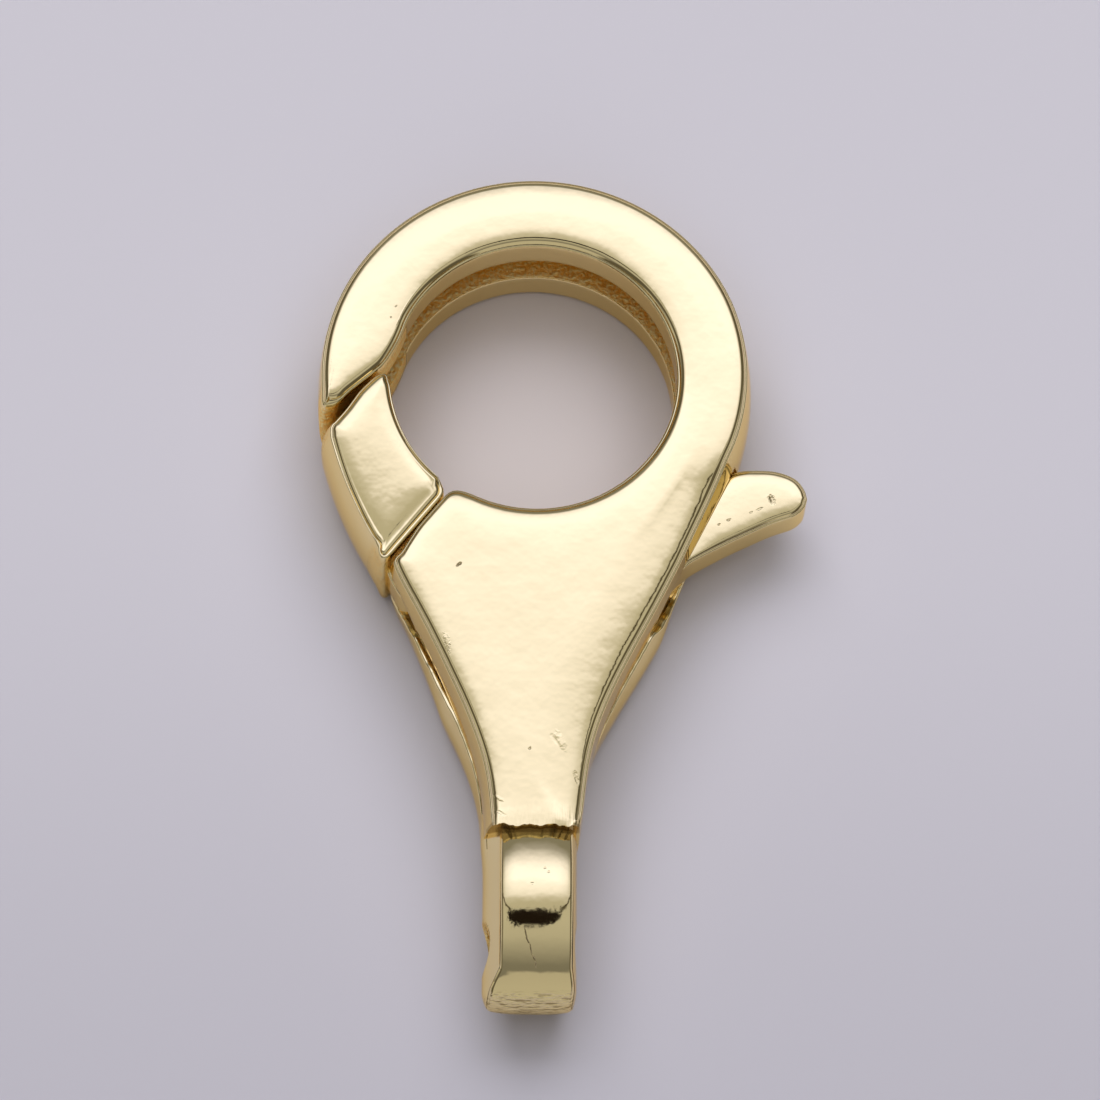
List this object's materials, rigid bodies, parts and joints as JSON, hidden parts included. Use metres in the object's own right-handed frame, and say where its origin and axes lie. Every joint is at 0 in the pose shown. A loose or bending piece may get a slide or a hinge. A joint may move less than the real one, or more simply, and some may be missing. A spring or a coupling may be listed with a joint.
{
  "type": "lobster clasp",
  "caption": "Jewellery clasp with a thick slotted ring, a lever gate worked by a thumb tab, and a narrow neck that ends in an oval eye with a cross bore.",
  "frame": {"origin": "centre of the eye's cross bore, at mid thickness", "axes": "+Y along the clasp from the eye to the ring, +X to the thumb tab's side along the eye's bore, +Z out of the front face"},
  "size_m": [0.0174, 0.0308, 0.0046],
  "materials": {
    "gold": "polished, gold coloured, with casting pits in the groove and slot",
    "steel": "plain drawn wire"
  },
  "bodies": {
    "body": {"body": "gold", "pivot_pin": "steel"},
    "lever": {"lever": "gold"}
  },
  "joints": [
    {"name": "lever_pivot", "type": "hinge", "parent": "body", "child": "lever", "pos_m": [0.0025, 0.0122, 0], "axis": [0, 0, -1], "range_deg": [0, 28], "stiffness_Nm_per_rad": 0.03, "springref_deg": -20.05}
  ]
}
